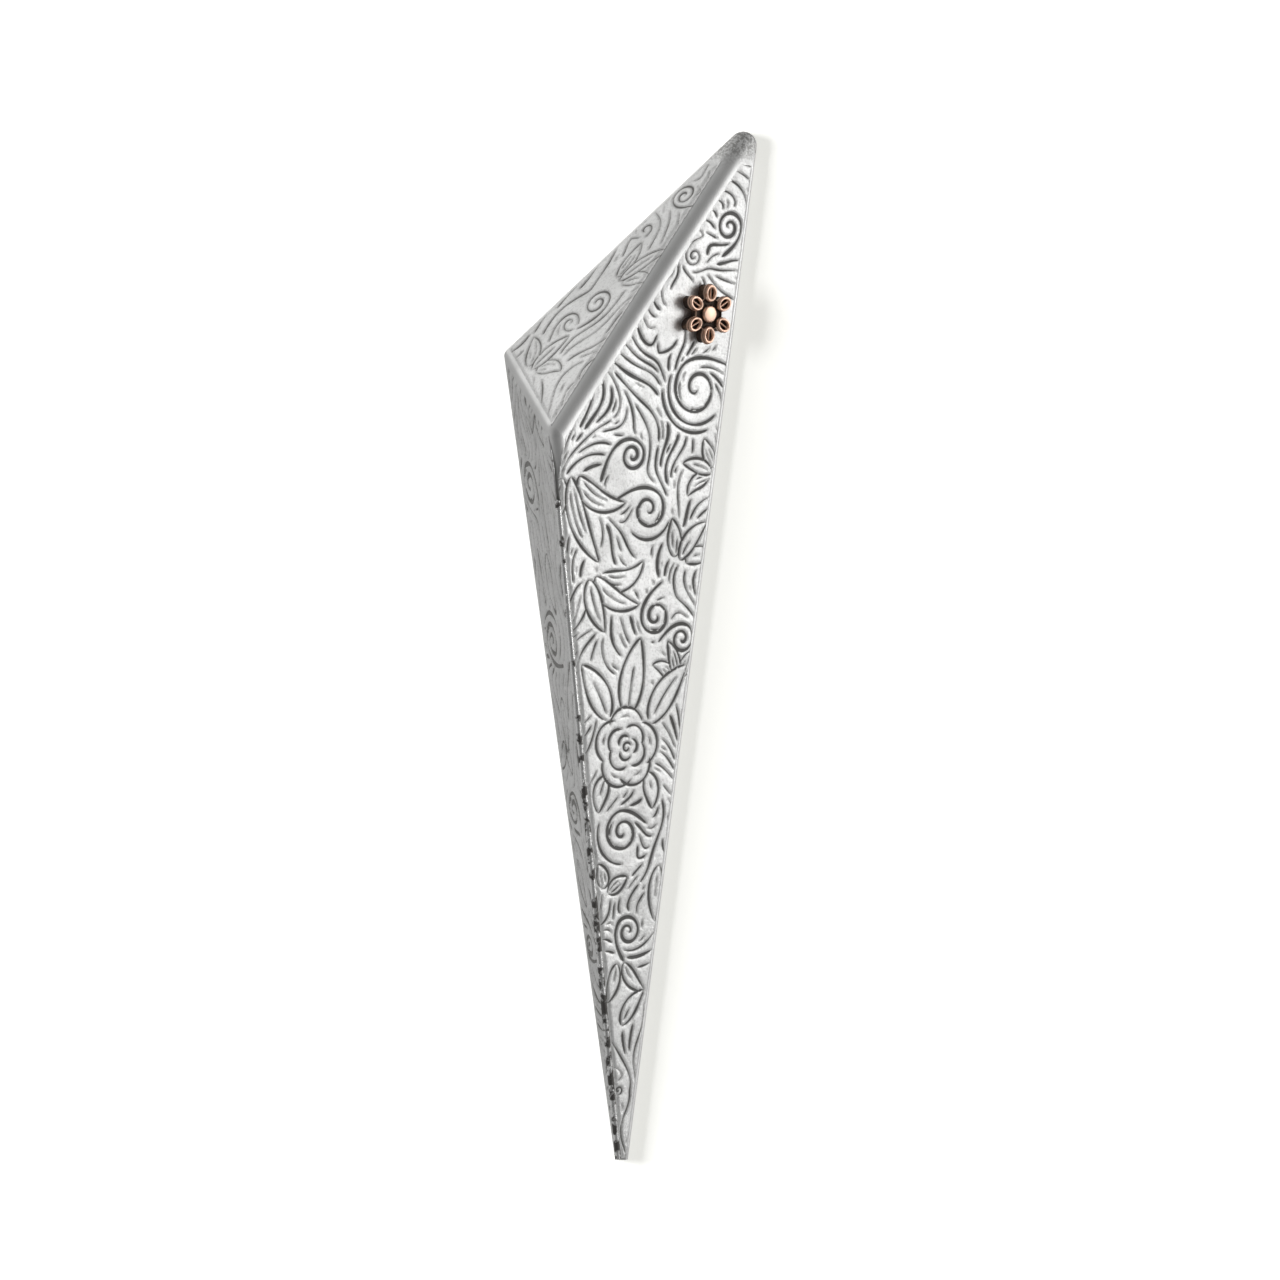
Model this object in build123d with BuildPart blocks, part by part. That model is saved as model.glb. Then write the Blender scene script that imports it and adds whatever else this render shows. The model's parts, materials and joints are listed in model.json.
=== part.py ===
"""Wall-mounted case for a small rolled scroll, in millimetres.

The wall is the plane Y = 0 and the case stands out of it towards -Y, with +Z up. A faceted metal
shell is held by magnets to a steel plate that is screwed to the wall, and the scroll is clipped to
the plate inside the shell. The origin is midway between the two screws, on the wall.
"""

import os
from math import atan2, cos, degrees, radians, sin, tan

from build123d import *

os.makedirs("parts", exist_ok=True)

# Outline on the wall as (X, Z) corners, and the peak that stands out from it
top_corner = (25.7, 72.5)
left_corner = (-15.7, 33.3)
foot_corner = (3.25, -104.0)
peak_point = (-7.9, 19.5)
peak_height = 24.0
rim_height = 2.0
foot_cut = -96.3  # the sharp foot is cut off level here
shell_wall = 1.3

# Rounding of the shell's edges
top_ridge_radius = 2.3
left_ridge_radius = 1.6
rim_radius = 0.5
top_tip_radius = 2.2
left_tip_radius = 1.2

# Back plate and its screws
plate_thickness = 1.4
plate_inset = 2.0  # from the shell's outline, all round
plate_tip_radius = 1.6
plate_foot_radius = 0.4
screw_spacing = 84.0
screw_radius = 1.5
screw_neck_radius = 1.65
screw_head_radius = 2.75
screw_length = 16.0
screw_point_length = 3.0
screw_point_radius = 0.1
countersink_half_angle = 45
recess_width = 0.6
recess_length = 2.8
recess_depth = 0.9

# Scroll, its sleeve and the axis that it turns on
scroll_foot = (-0.56, -27.4)  # (X, Z) of the lower end of the axis
scroll_tilt = 7.24  # degrees from upright, leaning to +X
scroll_height = 5.82  # axis above the wall
scroll_length = 72.0
sleeve_radius = 3.7
sleeve_wall = 0.35
cap_thickness = 1.0
cap_chamfer = 0.3
cap_plug_length = 1.5
parchment_gap = 0.5  # between the roll and each cap's plug
parchment_thickness = 0.18
roll_inner_radius = 1.5
roll_pitch = 0.3
roll_half_turns = 9
band_width = 9.0
band_thickness = 0.12

# Spring clips that hold the sleeve
clip_stations = {"lower_scroll_clip": 13.5, "upper_scroll_clip": 56.5}  # along the axis
clip_running_gap = 0.03
clip_sheet = 0.3
clip_width = 5.0
clip_mouth_angle = 110.0
clip_base_sheet = 0.5
clip_base_length = 14.0
rivet_spacing = 11.0
rivet_radius = 0.7
rivet_head_radius = 1.15
rivet_head_height = 0.55

# Magnets, each in the end of a post soldered inside the shell
magnet_places = {"upper": (16.2, 55.0), "left": (-9.0, 27.0), "lower": (2.0, -58.0)}
magnet_radius = 2.0
magnet_thickness = 2.0
magnet_chamfer = 0.2
magnet_gap = 0.3  # from the magnet to the plate
socket_depth = 1.2
post_radius = 2.5

# Soldered seam along the lower ridge
seam_radius = 0.5
seam_depth = 0.4  # of its centre line below the sharp ridge
seam_start = 0.09  # share of the ridge's length left plain below the peak

# Rosette emblem on the front facet
emblem_centre = (16.05, 39.5)
emblem_petals = 6
petal_length = 3.0
petal_width = 2.35
petal_centre_radius = 3.35
petal_start_angle = 90
hub_radius = 2.6
slot_centre_radius = 3.4
slot_length = 1.9
slot_width = 0.55
slot_start_angle = 60
copper_thickness = 0.9
backing_thickness = 1.5
backing_inset = 0.12
pin_radius = 0.6
pin_spacing = 5.0
pin_tail_radius = 1.0
pin_tail_length = 0.6

wall_plane = Plane.XZ  # its normal points out of the wall, towards -Y


def at_rim(corner):
    """A corner of the outline, at the height where the facets begin."""
    return Vector(corner[0], -rim_height, corner[1])


def facet_plane(first, second, third):
    """Plane through three corners, with its normal pointing out of the case."""
    normal = (second - first).cross(third - first).normalized()
    if normal.dot(first - case_middle) < 0:
        normal = -normal
    upwards = Vector(0, 0, 1) - normal * normal.Z
    return Plane(origin=first, x_dir=upwards.cross(normal), z_dir=normal)


def faceted_block(inset, back):
    """The case as a solid block, with every side moved in by inset, from the height back up."""
    with BuildPart() as block:
        with BuildSketch(wall_plane.offset(back)) as outline:
            Polygon(top_corner, left_corner, foot_corner, align=None)
            offset(amount=-inset, kind=Kind.INTERSECTION)
            fillet(outline.vertices().sort_by(Axis.X)[0], left_tip_radius)
            fillet(outline.vertices().sort_by(Axis.Y)[-1], top_tip_radius)
        extrude(amount=peak_height)
        for facet in (front_facet, left_facet, upper_facet):
            split(bisect_by=facet.offset(-inset), keep=Keep.BOTTOM)
        split(bisect_by=Plane.XY.offset(foot_cut + inset), keep=Keep.TOP)
    return block.part


peak = Vector(peak_point[0], -peak_height, peak_point[1])
case_middle = (at_rim(top_corner) + at_rim(left_corner) + at_rim(foot_corner) + peak) * 0.25
front_facet = facet_plane(at_rim(top_corner), peak, at_rim(foot_corner))
left_facet = facet_plane(at_rim(left_corner), peak, at_rim(foot_corner))
upper_facet = facet_plane(at_rim(top_corner), at_rim(left_corner), peak)

lean = radians(scroll_tilt)
scroll_plane = Plane(
    origin=(scroll_foot[0], -scroll_height, scroll_foot[1]),
    x_dir=(cos(lean), 0, -sin(lean)),
    z_dir=(sin(lean), 0, cos(lean)),
)

# The emblem's plane lies on the front facet, upright
emblem_x, emblem_z = emblem_centre
facet_origin, facet_normal = front_facet.origin, front_facet.z_dir
emblem_y = facet_origin.Y - (
    facet_normal.X * (emblem_x - facet_origin.X) + facet_normal.Z * (emblem_z - facet_origin.Z)
) / facet_normal.Y
emblem_plane = Plane(
    origin=(emblem_x, emblem_y, emblem_z), x_dir=front_facet.x_dir, z_dir=facet_normal
)

seam_from = peak + (at_rim(foot_corner) - peak) * seam_start
seam_inwards = (front_facet.z_dir + left_facet.z_dir).normalized() * -seam_depth
seam_direction = (at_rim(foot_corner) - peak).normalized()
seam_plane = Plane(origin=seam_from + seam_inwards, z_dir=seam_direction)

screw_heights = {"upper_mounting_screw": screw_spacing / 2, "lower_mounting_screw": -screw_spacing / 2}
head_depth = screw_head_radius - screw_neck_radius  # the head's sides slope at 45 degrees
shank_length = screw_length - plate_thickness - screw_point_length
screw_point_half_angle = degrees(atan2(screw_radius - screw_point_radius, screw_point_length))
mouth_reach = 2 * sleeve_radius
mouth_half_width = mouth_reach * tan(radians(clip_mouth_angle / 2))
inside = faceted_block(shell_wall, -1.0)
magnet_bottom = plate_thickness + magnet_gap
magnet_top = magnet_bottom + magnet_thickness


def clip_plane(station):
    """Plane on the plate's front face, centred under the scroll's axis, square to it."""
    foot = scroll_plane.origin + scroll_plane.z_dir * station
    origin = (foot.X, -plate_thickness, foot.Z)
    return Plane(origin=origin, x_dir=scroll_plane.x_dir, z_dir=wall_plane.z_dir)


# Ornament outline: petals round a hub, shared by the copper face and its backing
def rosette(inset):
    with BuildSketch() as outline:
        Circle(hub_radius - inset)
        with PolarLocations(petal_centre_radius, emblem_petals, start_angle=petal_start_angle):
            Ellipse(petal_length / 2 - inset, petal_width / 2 - inset)
    return outline.sketch


# Pins through the shell wall, peened over inside it
with BuildPart() as emblem_pins:
    with BuildSketch(emblem_plane):
        with GridLocations(1, pin_spacing, 1, 2):
            Circle(pin_radius)
    extrude(amount=-shell_wall)
    with BuildSketch(emblem_plane.offset(-shell_wall)):
        with GridLocations(1, pin_spacing, 1, 2):
            Circle(pin_tail_radius)
    extrude(amount=-pin_tail_length)
    tail_ends = emblem_pins.faces().sort_by(Axis(emblem_plane.origin, facet_normal))[:2]
    fillet(tail_ends.edges(), pin_tail_length / 2)
emblem_pins.part.label = "emblem_pins"
export_step(emblem_pins.part, "parts/emblem_pins.step")

# Dark block under the emblem's face, with the ends of the pins in its foot
with BuildPart() as emblem_backing:
    with BuildSketch(emblem_plane):
        add(rosette(backing_inset))
    extrude(amount=backing_thickness)
emblem_backing.part.label = "emblem_backing"
export_step(emblem_backing.part, "parts/emblem_backing.step")

# Copper face, pierced between its petals
with BuildPart() as copper_emblem:
    with BuildSketch(emblem_plane.offset(backing_thickness)):
        add(rosette(0))
        with PolarLocations(slot_centre_radius, emblem_petals, start_angle=slot_start_angle):
            SlotOverall(slot_length, slot_width, mode=Mode.SUBTRACT)
    extrude(amount=copper_thickness)
copper_emblem.part.label = "copper_emblem"
export_step(copper_emblem.part, "parts/copper_emblem.step")

# Seam bead, a rod let into the ridge between the front and left facets
with BuildPart() as ridge_seam_bead:
    with BuildSketch(seam_plane):
        Circle(seam_radius)
    extrude(amount=(at_rim(foot_corner) - seam_from).length)
    split(bisect_by=Plane.XY.offset(foot_cut), keep=Keep.TOP)
ridge_seam_bead.part.label = "ridge_seam_bead"
export_step(ridge_seam_bead.part, "parts/ridge_seam_bead.step")

# Front shell, open at the back, with its two upper ridges rounded and its rim eased
with BuildPart() as front_shell:
    add(faceted_block(0, 0))
    top_ridge = front_shell.edges().sort_by_distance((at_rim(top_corner) + peak) * 0.5)[0]
    fillet(top_ridge, top_ridge_radius)
    left_ridge = front_shell.edges().sort_by_distance((at_rim(left_corner) + peak) * 0.5)[0]
    fillet(left_ridge, left_ridge_radius)
    rim_ends = ((top_corner, foot_corner), (top_corner, left_corner), (left_corner, foot_corner))
    rim_middles = [(at_rim(first) + at_rim(second)) * 0.5 for first, second in rim_ends]
    fillet([front_shell.edges().sort_by_distance(middle)[0] for middle in rim_middles], rim_radius)
    add(inside, mode=Mode.SUBTRACT)
    add(ridge_seam_bead.part, mode=Mode.SUBTRACT)
    add(emblem_pins.part, mode=Mode.SUBTRACT)
front_shell.part.label = "front_shell"
export_step(front_shell.part, "parts/front_shell.step")

# Magnets, and the posts inside the shell that hold them in sockets
for place, centre in magnet_places.items():
    with BuildPart() as magnet:
        with BuildSketch(wall_plane.offset(magnet_bottom)):
            with Locations(centre):
                Circle(magnet_radius)
        extrude(amount=magnet_thickness)
        chamfer(magnet.edges(), magnet_chamfer)
    magnet.part.label = f"{place}_magnet"
    export_step(magnet.part, f"parts/{place}_magnet.step")

    with BuildPart() as post:
        with BuildSketch(wall_plane.offset(magnet_top - socket_depth)):
            with Locations(centre):
                Circle(post_radius)
        extrude(amount=peak_height)
        add(inside, mode=Mode.INTERSECT)
        add(magnet.part, mode=Mode.SUBTRACT)
    post.part.label = f"{place}_magnet_post"
    export_step(post.part, f"parts/{place}_magnet_post.step")

# Back plate, with countersunk screw holes and a pair of rivet holes for each clip
with BuildPart() as back_plate:
    with BuildSketch(wall_plane) as plate_outline:
        Polygon(top_corner, left_corner, foot_corner, align=None)
        offset(amount=-plate_inset, kind=Kind.INTERSECTION)
        fillet(plate_outline.vertices().sort_by(Axis.Y)[0], plate_foot_radius)
        fillet(plate_outline.vertices().sort_by(Axis.Y)[-1], plate_tip_radius)
        fillet(plate_outline.vertices().sort_by(Axis.X)[0], plate_tip_radius)
    extrude(amount=plate_thickness)
    with BuildSketch(wall_plane):
        with GridLocations(1, screw_spacing, 1, 2):
            Circle(screw_neck_radius)
    extrude(amount=plate_thickness, mode=Mode.SUBTRACT)
    with BuildSketch(wall_plane.offset(plate_thickness)):
        with GridLocations(1, screw_spacing, 1, 2):
            Circle(screw_head_radius)
    extrude(amount=-head_depth, taper=countersink_half_angle, mode=Mode.SUBTRACT)
    for station in clip_stations.values():
        with BuildSketch(clip_plane(station)):
            with GridLocations(rivet_spacing, 1, 2, 1):
                Circle(rivet_radius)
        extrude(amount=-plate_thickness, mode=Mode.SUBTRACT)
back_plate.part.label = "back_plate"
export_step(back_plate.part, "parts/back_plate.step")

# Countersunk wood screws, which leave the plate's back and enter the wall
for name, height in screw_heights.items():
    with BuildPart() as screw:
        with BuildSketch(wall_plane.offset(plate_thickness)):
            with Locations((0, height)):
                Circle(screw_head_radius)
        extrude(amount=-head_depth, taper=countersink_half_angle)
        with BuildSketch(wall_plane):
            with Locations((0, height)):
                Circle(screw_neck_radius)
        extrude(amount=plate_thickness - head_depth)
        with BuildSketch(wall_plane):
            with Locations((0, height)):
                Circle(screw_radius)
        extrude(amount=-shank_length)
        with BuildSketch(wall_plane.offset(-shank_length)):
            with Locations((0, height)):
                Circle(screw_radius)
        extrude(amount=-screw_point_length, taper=screw_point_half_angle)
        with BuildSketch(wall_plane.offset(plate_thickness)):
            with Locations((0, height)):
                Rectangle(recess_length, recess_width)
                Rectangle(recess_width, recess_length)
        extrude(amount=-recess_depth, mode=Mode.SUBTRACT)
    screw.part.label = name
    export_step(screw.part, f"parts/{name}.step")

# Spring clips: a flat base riveted to the plate under a ring with its mouth away from the wall
for name, station in clip_stations.items():
    with BuildPart() as clip:
        with BuildSketch(scroll_plane.offset(station - clip_width / 2)) as ring:
            Circle(sleeve_radius + clip_running_gap + clip_sheet)
            with Locations((0, scroll_height - plate_thickness)):
                Rectangle(clip_base_length, clip_base_sheet, align=(Align.CENTER, Align.MAX))
            Circle(sleeve_radius + clip_running_gap, mode=Mode.SUBTRACT)
            Polygon((0, 0), (-mouth_half_width, -mouth_reach), (mouth_half_width, -mouth_reach),
                    align=None, mode=Mode.SUBTRACT)
        extrude(amount=clip_width)
        with BuildSketch(clip_plane(station)):
            with GridLocations(rivet_spacing, 1, 2, 1):
                Circle(rivet_radius)
        extrude(amount=clip_base_sheet, both=True, mode=Mode.SUBTRACT)
    clip.part.label = name
    export_step(clip.part, f"parts/{name}.step")

# Rivets of both clips, flush at the back of the plate
with BuildPart() as clip_rivets:
    for station in clip_stations.values():
        with BuildSketch(clip_plane(station).offset(-plate_thickness)):
            with GridLocations(rivet_spacing, 1, 2, 1):
                Circle(rivet_radius)
        extrude(amount=plate_thickness + clip_base_sheet)
        with BuildSketch(clip_plane(station).offset(clip_base_sheet)):
            with GridLocations(rivet_spacing, 1, 2, 1):
                Circle(rivet_head_radius)
        extrude(amount=rivet_head_height)
    head_tops = clip_rivets.faces().sort_by(Axis.Y)[:4]
    fillet(head_tops.edges(), rivet_head_height * 0.9)
clip_rivets.part.label = "clip_rivets"
export_step(clip_rivets.part, "parts/clip_rivets.step")

# Clear sleeve round the scroll
with BuildPart() as scroll_sleeve:
    with BuildSketch(scroll_plane.offset(cap_thickness)):
        Circle(sleeve_radius)
        Circle(sleeve_radius - sleeve_wall, mode=Mode.SUBTRACT)
    extrude(amount=scroll_length - 2 * cap_thickness)
scroll_sleeve.part.label = "scroll_sleeve"
export_step(scroll_sleeve.part, "parts/scroll_sleeve.step")

# End caps, each a disc with a plug that fills the sleeve's bore
upper_end = scroll_plane.offset(scroll_length)
cap_planes = {
    "lower_sleeve_cap": scroll_plane,
    "upper_sleeve_cap": Plane(origin=upper_end.origin, x_dir=upper_end.x_dir, z_dir=-upper_end.z_dir),
}
for name, plane in cap_planes.items():
    with BuildPart() as cap:
        with BuildSketch(plane):
            Circle(sleeve_radius)
        extrude(amount=cap_thickness)
        chamfer(cap.faces().sort_by(Axis(plane.origin, plane.z_dir))[0].edges(), cap_chamfer)
        with BuildSketch(plane.offset(cap_thickness)):
            Circle(sleeve_radius - sleeve_wall)
        extrude(amount=cap_plug_length)
    cap.part.label = name
    export_step(cap.part, f"parts/{name}.step")

# Rolled parchment, a spiral of half turns about two centres half a pitch apart
roll_plane = scroll_plane.offset(cap_thickness + cap_plug_length + parchment_gap)
roll_length = scroll_length - 2 * (cap_thickness + cap_plug_length + parchment_gap)
with BuildPart() as parchment_scroll:
    with BuildSketch(roll_plane):
        with BuildLine():
            for turn in range(roll_half_turns):
                CenterArc(
                    center=(roll_pitch / 4 if turn % 2 else -roll_pitch / 4, 0),
                    radius=roll_inner_radius + turn * roll_pitch / 2,
                    start_angle=180 * (turn % 2),
                    arc_size=180,
                )
        trace(line_width=parchment_thickness)
    extrude(amount=roll_length)
parchment_scroll.part.label = "parchment_scroll"
export_step(parchment_scroll.part, "parts/parchment_scroll.step")

# Paper band round the middle of the roll
band_inner_radius = roll_inner_radius + roll_half_turns * roll_pitch / 2 + parchment_thickness / 2
with BuildPart() as scroll_band:
    with BuildSketch(scroll_plane.offset((scroll_length - band_width) / 2)):
        Circle(band_inner_radius + band_thickness)
        Circle(band_inner_radius, mode=Mode.SUBTRACT)
    extrude(amount=band_width)
scroll_band.part.label = "scroll_band"
export_step(scroll_band.part, "parts/scroll_band.step")
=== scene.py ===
import json
import random
from functools import partialmethod
from itertools import takewhile
from math import copysign, cos, exp, floor, hypot, pi, radians, sin, sqrt

import bmesh
import bpy
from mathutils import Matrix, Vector, noise


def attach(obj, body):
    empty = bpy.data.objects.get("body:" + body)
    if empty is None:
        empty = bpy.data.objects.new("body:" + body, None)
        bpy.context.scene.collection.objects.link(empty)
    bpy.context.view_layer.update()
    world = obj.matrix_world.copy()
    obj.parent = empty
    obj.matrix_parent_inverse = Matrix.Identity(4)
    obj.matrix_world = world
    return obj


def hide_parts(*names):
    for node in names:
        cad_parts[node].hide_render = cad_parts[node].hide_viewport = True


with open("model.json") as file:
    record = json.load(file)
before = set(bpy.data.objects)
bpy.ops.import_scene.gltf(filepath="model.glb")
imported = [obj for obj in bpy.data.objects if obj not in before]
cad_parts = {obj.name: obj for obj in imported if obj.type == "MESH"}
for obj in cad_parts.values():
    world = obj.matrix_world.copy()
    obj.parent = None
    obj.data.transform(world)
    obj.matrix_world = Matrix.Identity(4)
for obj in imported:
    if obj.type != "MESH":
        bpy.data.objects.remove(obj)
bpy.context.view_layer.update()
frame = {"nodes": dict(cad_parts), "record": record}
mm = 0.001  # sizes below are in millimetres, Blender's in metres
print("frame loaded")


# sockets as numbers: an expression on values adds its own nodes

class Value:
    def __init__(self, graph, socket):
        self.graph, self.socket = graph, socket

    def math(self, operation, *others):
        inputs = dict(enumerate((self,) + others))
        return self.graph.add("ShaderNodeMath", inputs, operation=operation)[0]

    __add__ = __radd__ = partialmethod(math, "ADD")
    __mul__ = __rmul__ = partialmethod(math, "MULTIPLY")
    __sub__ = partialmethod(math, "SUBTRACT")
    __truediv__ = partialmethod(math, "DIVIDE")
    atLeast = partialmethod(math, "MAXIMUM")
    atMost = partialmethod(math, "MINIMUM")

    def __rsub__(self, other):
        return self * -1 + other

    def step(self, low, high):  # 0 below low, 1 above high, smooth between
        inputs = {"Value": self, "From Min": low, "From Max": high}
        return self.graph.add("ShaderNodeMapRange", inputs, interpolation_type="SMOOTHSTEP")[0]

    def decay(self, length):  # 1 at zero, falling off over this length
        return (self * (-1 / length)).math("EXPONENT")


class Graph:
    def __init__(self, tree):
        self.tree = tree
        self.prefix = "GeometryNode" if tree.type == "GEOMETRY" else "ShaderNode"
        tree.nodes.clear()

    def add(self, kind, inputs=None, **settings):  # a short kind gets the tree's own prefix
        node = self.tree.nodes.new(kind if "Node" in kind else self.prefix + kind)
        for name, setting in settings.items():
            setattr(node, name, setting)
        for key, value in (inputs or {}).items():
            if isinstance(value, Value):
                self.tree.links.new(value.socket, node.inputs[key])
            else:
                node.inputs[key].default_value = value
        found = {socket.name: Value(self, socket) for socket in reversed(node.outputs)}
        found.update({index: Value(self, socket) for index, socket in enumerate(node.outputs)})
        return found

    def objectPlace(self):
        return self.add("TexCoord")["Object"]

    def height(self):  # up from midway between the screws, in mm
        return self.add("SeparateXYZ", {0: self.objectPlace()})["Z"] / mm

    def place(self, scale=(1.0, 1.0, 1.0), turn=(0.0, 0.0, 0.0)):
        return self.add("Mapping", {"Vector": self.objectPlace(), "Scale": scale, "Rotation": turn})[0]

    def noise(self, size, detail=3.0, roughness=0.6, place=None, stretch=()):  # size of a blotch in mm
        inputs = {"Vector": place or self.place(*stretch), "Scale": 1 / (size * mm)}
        return self.add("ShaderNodeTexNoise", {**inputs, "Detail": detail, "Roughness": roughness})[0]

    def blend(self, factor, *colours):  # from the first colour to the second
        first, second = (colour if isinstance(colour, Value) else (*colour, 1.0) for colour in colours)
        return self.add("Mix", {0: factor, 6: first, 7: second}, data_type="RGBA")[2]


def addObject(name, data):
    made = bpy.data.objects.new(name, data)
    bpy.context.scene.collection.objects.link(made)
    return made


# materials

def makeMaterial(name, paint):
    material = bpy.data.materials.new(name)
    material.use_nodes = True
    graph = Graph(material.node_tree)
    shader = paint(graph)
    graph.add("OutputMaterial", {"Surface": shader})
    return material


def surface(graph, colour, roughness, height, bumpDepth, metallic=1.0, **more):
    normal = graph.add("Bump", {"Height": height, "Distance": bumpDepth * mm, "Strength": 1.0})[0]
    inputs = {"Base Color": colour, "Roughness": roughness, "Metallic": metallic, "Normal": normal}
    return graph.add("BsdfPrincipled", {**inputs, **more})[0]


def mottled(blotch, colours, roughness, spread, bumpDepth, metallic=1.0):  # soft blotches in two shades
    def paint(graph):
        cloud = graph.noise(*blotch)
        colour = graph.blend(cloud, *colours)
        return surface(graph, colour, roughness + cloud * spread, cloud, bumpDepth, metallic)

    return paint


pewterLook = {
    "land": (0.80, 0.80, 0.79),
    "landDull": (0.62, 0.62, 0.61),
    "groove": (0.13, 0.128, 0.122),
    "halo": (0.30, 0.295, 0.285),
    "roughness": 0.36,
    "haloReach": 0.16,
    "grain": 0.16,
    "castTip": (62.5, 66.5),  # the very top is left rough from the casting
    "darkerBelow": (-15.0, -60.0),  # the solder is darker towards the bottom, from the first height down to the second
}


def pewter(embossed):
    look = pewterLook

    def paint(graph):
        cloud = graph.noise(9.0, 4.0, 0.55)
        grain = graph.noise(look["grain"], 2.0, 0.6)
        scratch = graph.noise(1.1, place=graph.place((1.0, 1.0, 0.12), (0.3, 0.0, 0.5)))
        worn = cloud.step(0.35, 0.75) * 0.55 + grain * 0.25
        land = graph.blend(worn, look["land"], look["landDull"])
        roughness = look["roughness"] + cloud * 0.12 + scratch * 0.10 - 0.05
        pits = graph.noise(0.45, 3.0, 0.65)
        if not embossed:
            cast = graph.height().step(*look["castTip"])
            height = grain * 0.3 + scratch * 0.3 + pits * cast * 4.0
            dark = graph.blend(cast * pits.step(0.58, 0.42) * 0.75, land, look["halo"])
            return surface(graph, dark, roughness + cast * 0.1, height, 0.03)
        height = grain * 0.4 + scratch * 0.3 + pits * 1.5
        groove = graph.add("Attribute", attribute_name="groove")["Fac"]
        patchy = graph.noise(2.2)
        halo = groove.atLeast(0.0).decay(look["haloReach"]) * (patchy * 1.3 - 0.1)
        halo = halo.atLeast(0.0).atMost(1.0)
        inGroove = 1 - groove.step(-0.05, 0.09)
        grime = (halo * 0.7 + pits.step(0.52, 0.32) * 0.3).atMost(1.0)
        colour = graph.blend(grime, land, look["halo"])
        colour = graph.blend(inGroove * (0.80 + patchy * 0.25), colour, look["groove"])
        dull = (inGroove * 0.75 + halo * 0.3).atMost(1.0)
        return surface(graph, colour, roughness + dull * 0.3, height, 0.03, 1 - dull * 0.55)

    return paint


def solder(graph):
    blotch = graph.noise(0.7)
    # the solder gets more dark patches towards the bottom of the seam
    low = graph.height().step(*pewterLook["darkerBelow"])
    dark = (graph.noise(2.0) + low * 0.12 - 0.12).step(0.42, 0.52)
    colour = graph.blend(dark, (0.80, 0.80, 0.79), (0.13, 0.125, 0.12))
    return surface(graph, colour, 0.16 + blotch * 0.22 + dark * 0.3, blotch, 0.05)


def copper(graph):
    edge = graph.add("Attribute", attribute_name="rise")["Fac"]
    cloud = graph.noise(2.4, 3.0, 0.5)
    brush = graph.noise(0.25, stretch=((1.0, 1.0, 0.15),))
    face = graph.blend(cloud, (0.93, 0.66, 0.52), (0.86, 0.55, 0.40))
    dark = edge.step(0.62, 0.3)
    colour = graph.blend(dark, face, (0.045, 0.028, 0.02))
    return surface(graph, colour, 0.27 + brush * 0.16 + dark * 0.2, brush, 0.012, 1 - dark * 0.5)


def oxide(graph):
    cloud = graph.noise(1.4, 4.0, 0.6)
    streak = graph.noise(0.35)
    colour = graph.blend(cloud.step(0.45, 0.75), (0.035, 0.022, 0.016), (0.16, 0.10, 0.065))
    return surface(graph, colour, 0.42 + streak * 0.2, streak, 0.03, 0.6)


def plateSteel(graph):
    inputs = {"Vector": graph.place(), "Scale": 1 / (3.2 * mm)}
    spangle = graph.add("TexVoronoi", inputs)["Color"]
    facet = graph.add("SeparateColor", {"Color": spangle})[0]
    brush = graph.noise(0.5, stretch=((1.0, 1.0, 0.06),))
    colour = graph.blend(facet * 0.6 + brush * 0.3, (0.60, 0.61, 0.62), (0.42, 0.43, 0.45))
    return surface(graph, colour, 0.30 + facet * 0.14 + brush * 0.12, brush + facet * 0.2, 0.015)


def springSteel(graph):
    temper = graph.noise(3.0, 2.0, 0.5)
    brush = graph.noise(0.3, stretch=((0.2, 1.0, 1.0),))
    colour = graph.blend(temper.step(0.35, 0.7), (0.30, 0.33, 0.40), (0.42, 0.38, 0.34))
    return surface(graph, colour, 0.24 + brush * 0.18, brush, 0.01)


def brass(graph):
    cloud = graph.noise(1.5)
    turned = graph.noise(0.18, 2.0, 0.6, graph.place((0.1, 1.0, 0.1)))
    colour = graph.blend(cloud, (0.83, 0.62, 0.27), (0.62, 0.43, 0.17))
    return surface(graph, colour, 0.22 + cloud * 0.16 + turned * 0.08, turned, 0.015)


def clearPlastic(graph):
    smear = graph.noise(2.5)
    scuff = graph.noise(0.3, stretch=((1.0, 1.0, 0.1),))
    clear = {"IOR": 1.47, "Alpha": 0.16 + scuff.step(0.6, 0.8) * 0.2}
    return surface(graph, (0.96, 0.97, 0.98, 1.0), 0.06 + smear * 0.12, scuff, 0.005, 0.0, **clear)


def parchment(graph):
    cloud = graph.noise(6.0, 4.0, 0.6)
    follicles = graph.noise(0.22, 3.0, 0.65)
    vein = graph.noise(2.0, 4.0, 0.7, graph.place((1.0, 1.0, 0.35)))
    colour = graph.blend(cloud.step(0.3, 0.75), (0.86, 0.77, 0.58), (0.74, 0.61, 0.41))
    colour = graph.blend(vein.step(0.6, 0.75) * 0.4, colour, (0.60, 0.47, 0.30))
    return surface(graph, colour, 0.58 + follicles * 0.2, follicles + vein * 0.4, 0.03, 0.0)


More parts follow.
